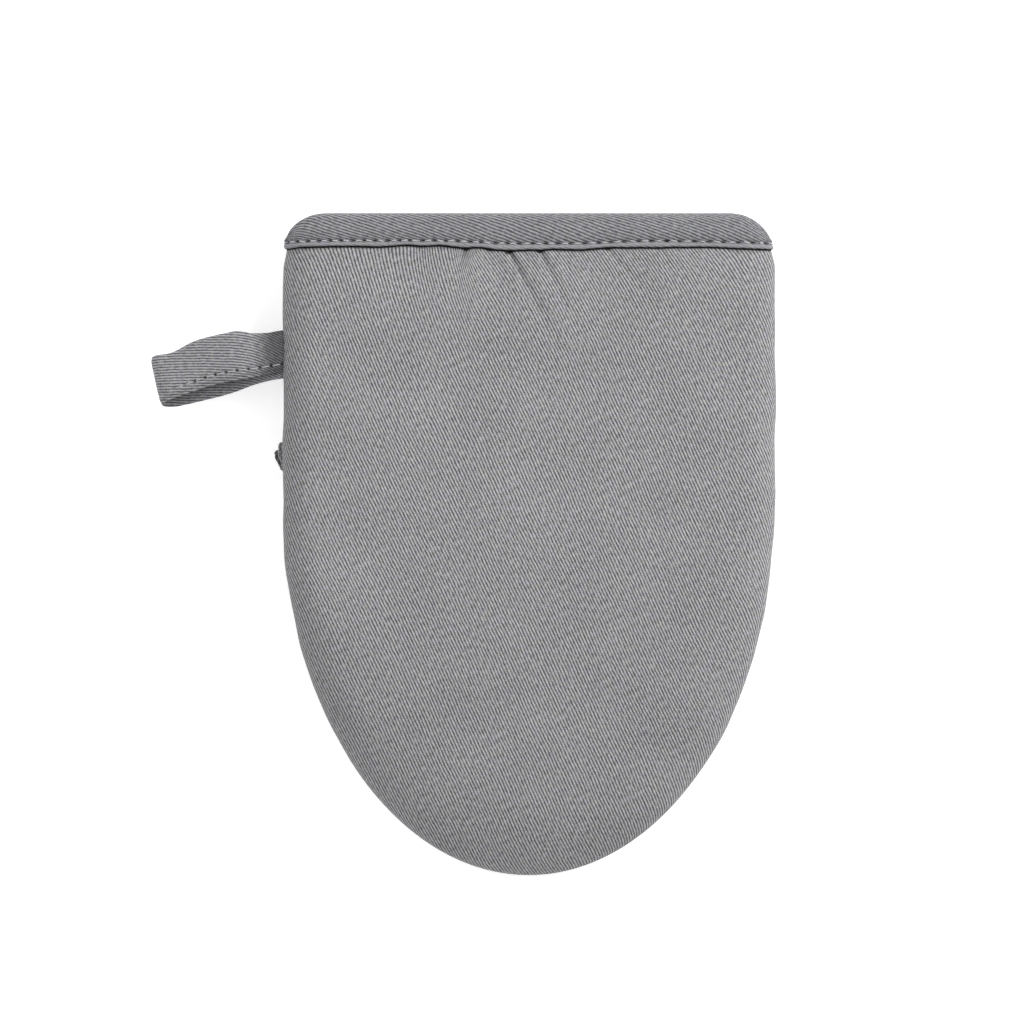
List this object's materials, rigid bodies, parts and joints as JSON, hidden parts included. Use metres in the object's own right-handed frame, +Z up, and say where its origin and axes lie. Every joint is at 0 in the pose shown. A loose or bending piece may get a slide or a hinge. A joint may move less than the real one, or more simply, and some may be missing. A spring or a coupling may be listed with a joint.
{
  "type": "oven mitt",
  "caption": "Quilted grey twill oven mitt of the puppet kind: a bound mouth, a finger pocket, a short hinged thumb jaw and a side hanging loop.",
  "frame": {"origin": "on the table, under the middle of the body's plan, on the thumb jaw's flat underside", "axes": "+Y points to the mouth where the hand goes in, +X to the right seen from above with the mouth away, +Z up from the table"},
  "size_m": [0.2037, 0.216, 0.0315],
  "materials": {
    "grey_twill": "matte",
    "grey_binding_twill": "matte",
    "wadding": "matte",
    "lining_cloth": "matte",
    "grey_thread": "satin"
  },
  "bodies": {
    "mitt": {"back_shell": "grey_twill", "back_wadding": "wadding", "back_lining": "lining_cloth", "finger_grip_shell": "grey_twill", "finger_grip_wadding": "wadding", "finger_grip_lining": "lining_cloth", "cuff_shell": "grey_twill", "cuff_wadding": "wadding", "cuff_lining": "lining_cloth", "mouth_binding": "grey_binding_twill", "binding_topstitch": "grey_thread", "side_seam_thread": "grey_thread", "crease_gusset": "grey_twill", "crease_tuck_left": "grey_twill", "crease_tuck_right": "grey_twill", "loop_tail": "grey_binding_twill"},
    "thumb": {"thumb_back_shell": "grey_twill", "thumb_back_wadding": "wadding", "thumb_back_lining": "lining_cloth", "thumb_grip_shell": "grey_twill", "thumb_grip_wadding": "wadding", "thumb_grip_lining": "lining_cloth", "thumb_seam_thread": "grey_thread"},
    "loop": {"hanging_loop": "grey_binding_twill", "loop_edge_stitches": "grey_thread"}
  },
  "joints": [
    {"name": "thumb_open", "type": "hinge", "parent": "mitt", "child": "thumb", "pos_m": [0, 0.025, 0.0022], "axis": [1, 0, 0], "range_deg": [0, 45], "stiffness_Nm_per_rad": 0.08, "springref_deg": -8.59},
    {"name": "loop_swing", "type": "hinge", "parent": "mitt", "child": "loop", "pos_m": [-0.0831, 0.0616, 0.0231], "axis": [0, 1, 0], "range_deg": [-60, 85], "stiffness_Nm_per_rad": 0.01}
  ]
}
